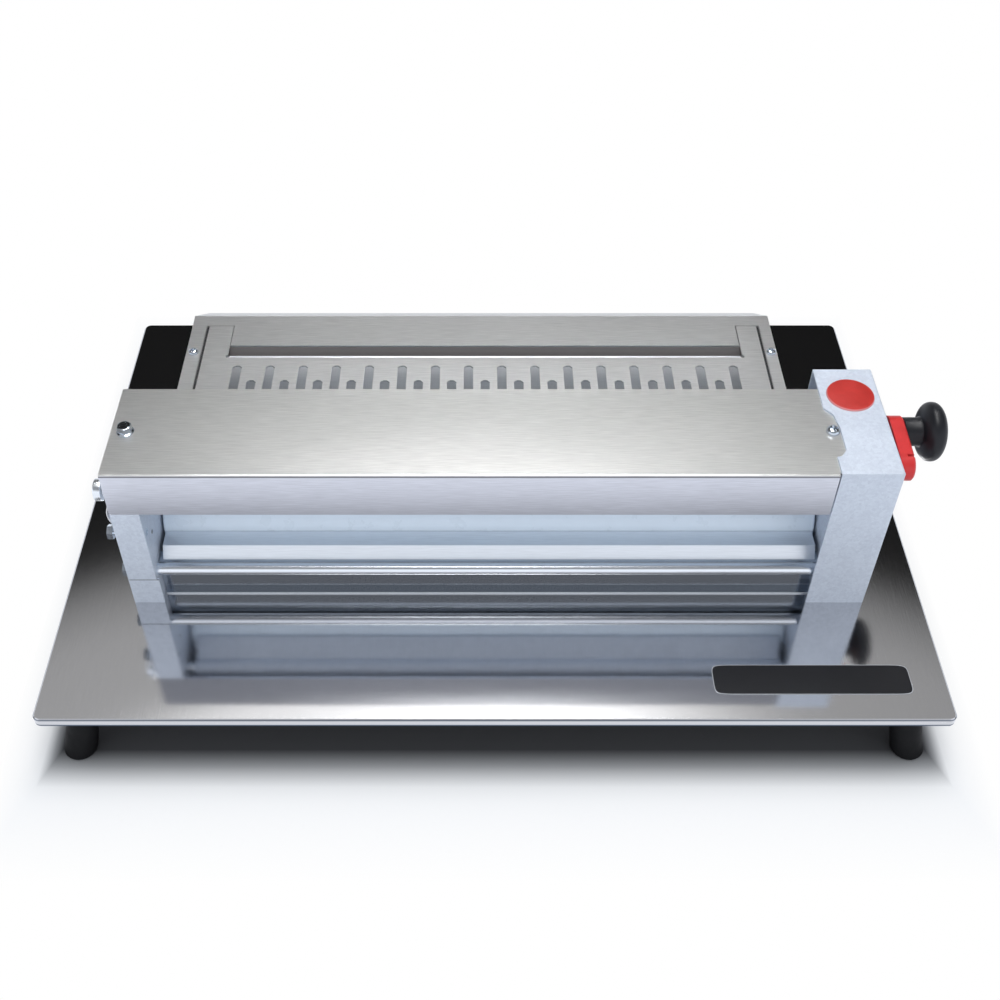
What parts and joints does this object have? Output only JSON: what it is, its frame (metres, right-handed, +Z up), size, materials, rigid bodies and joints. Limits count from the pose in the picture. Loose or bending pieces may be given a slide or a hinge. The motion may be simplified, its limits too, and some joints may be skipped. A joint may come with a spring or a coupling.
{
  "type": "pizza dough roller",
  "caption": "Low table-top dough sheeter: white rollers between galvanised side frames on a stainless worktop, brushed hood, slotted infeed guard and a red thickness lever with a black knob.",
  "frame": {"origin": "on the bench, under the middle of the worktop", "axes": "+X from the left to the lever's side, +Y from the front to the back, +Z up"},
  "size_m": [0.56, 0.385, 0.1758],
  "materials": {
    "worktop_steel": "polished stainless steel",
    "brushed_stainless": "brushed stainless steel",
    "galvanised_steel": "galvanised, pale blue-grey with a fine spangle",
    "bright_steel": "ground bright steel",
    "gear_steel": "machined steel",
    "screw_steel": "zinc plated",
    "spring_steel": "drawn wire",
    "polyurethane": "amber polyurethane",
    "bronze": "machined bronze",
    "white_plastic": "white food-grade plastic",
    "red_plastic": "red, moulded",
    "black_plastic": "black, glossy",
    "black_rubber": "black rubber",
    "cast_aluminium": "cast",
    "motor_paint": "black paint, satin"
  },
  "bodies": {
    "frame": {"worktop": "worktop_steel", "feet": "black_rubber", "left_bearing_plate": "galvanised_steel", "left_casing": "galvanised_steel", "left_foot_bracket": "galvanised_steel", "right_side_plate": "galvanised_steel", "gear_case_cover": "galvanised_steel", "case_plug": "red_plastic", "hood": "brushed_stainless", "hood_screw_left": "screw_steel", "hood_screw_right": "screw_steel", "lower_bush_left": "bronze", "lower_bush_right": "bronze", "block_springs": "polyurethane", "tie_rod": "bright_steel", "side_bolts": "screw_steel", "scraper": "brushed_stainless", "toe_plate": "brushed_stainless", "torsion_spring": "spring_steel", "guard_housing": "brushed_stainless", "guard_rails": "galvanised_steel", "guard_screws": "screw_steel", "guard_grille": "brushed_stainless", "infeed_chute": "brushed_stainless", "gearbox": "cast_aluminium", "gear_motor": "motor_paint"},
    "lower_roller": {"lower_roller_sleeve": "white_plastic", "lower_roller_shaft": "bright_steel", "lower_roller_gear": "gear_steel", "lower_gear_nut": "screw_steel"},
    "upper_carriage": {"bearing_block_left": "bronze", "bearing_block_right": "bronze"},
    "upper_roller": {"upper_roller_sleeve": "white_plastic", "upper_roller_shaft": "bright_steel", "upper_roller_gear": "gear_steel", "upper_gear_nut": "screw_steel"},
    "adjuster": {"adjust_shaft": "bright_steel", "cams": "bright_steel", "thickness_lever": "red_plastic", "clamp_nut": "screw_steel", "clamp_washer": "screw_steel"},
    "clamp": {"clamp_knob": "black_plastic", "clamp_stud": "screw_steel"},
    "scraper_swing": {"pivot_shaft": "bright_steel", "upper_scraper": "brushed_stainless"},
    "drive": {"drive_pinion": "gear_steel", "pinion_shaft": "bright_steel"}
  },
  "joints": [
    {"name": "lower_roller_spin", "type": "hinge", "parent": "frame", "child": "lower_roller", "pos_m": [0, -0.045, 0.082], "axis": [1, 0, 0], "continuous": true},
    {"name": "drive_pinion_spin", "type": "hinge", "parent": "frame", "child": "drive", "pos_m": [0, 0.0009, 0.082], "axis": [1, 0, 0], "continuous": true},
    {"name": "thickness_lever_turn", "type": "hinge", "parent": "frame", "child": "adjuster", "pos_m": [0, -0.081, 0.1563], "axis": [-1, 0, 0], "range_deg": [0, 60]},
    {"name": "clamp_knob_turn", "type": "hinge", "parent": "adjuster", "child": "clamp", "pos_m": [0, -0.05152, 0.15733], "axis": [1, 0, 0], "range_deg": [0, 270]},
    {"name": "upper_roller_lift", "type": "slide", "parent": "frame", "child": "upper_carriage", "axis": [0, 0, 1], "range_m": [-0.0045, 0], "deforming": ["block_springs"]},
    {"name": "upper_roller_spin", "type": "hinge", "parent": "upper_carriage", "child": "upper_roller", "pos_m": [0, -0.045, 0.136], "axis": [1, 0, 0], "continuous": true},
    {"name": "upper_scraper_swing", "type": "hinge", "parent": "frame", "child": "scraper_swing", "pos_m": [0, -0.086, 0.141], "axis": [1, 0, 0], "range_deg": [-4.08, 0]}
  ],
  "couplings": [
    {"joint": "upper_roller_spin", "follows": "lower_roller_spin", "ratio": -1},
    {"joint": "drive_pinion_spin", "follows": "lower_roller_spin", "ratio": -1.1667},
    {"joint": "thickness_lever_turn", "follows": "upper_roller_lift", "rad_per_m": -232.71},
    {"joint": "upper_scraper_swing", "follows": "upper_roller_lift", "rad_per_m": 15.824}
  ]
}
